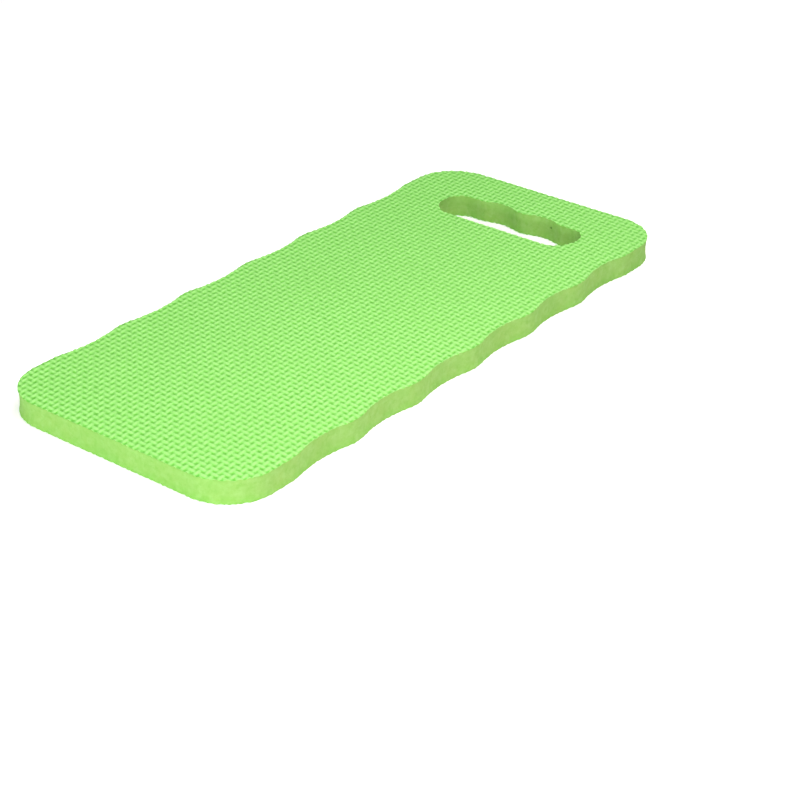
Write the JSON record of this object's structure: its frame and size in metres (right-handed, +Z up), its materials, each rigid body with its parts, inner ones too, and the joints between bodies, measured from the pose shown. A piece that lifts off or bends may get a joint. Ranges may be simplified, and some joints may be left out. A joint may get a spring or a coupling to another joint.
{
  "type": "kneeling pad",
  "caption": "Flat rectangular foam kneeling pad with rounded corners, scalloped long sides, a woven-look embossed face and a finger-shaped carrying slot at one end.",
  "frame": {"origin": "middle of the underside, in the plane that the pad rests on", "axes": "+X along the pad towards the carrying slot, +Y across it, +Z up out of the kneeling face"},
  "size_m": [0.42, 0.178, 0.0155],
  "materials": {
    "face_skin": "matt, embossed in a basket weave",
    "cut_foam": "matt, die-cut cell surface"
  },
  "bodies": {
    "root": {"top_skin": "face_skin", "foam_core": "cut_foam", "underside_skin": "face_skin"}
  },
  "joints": []
}
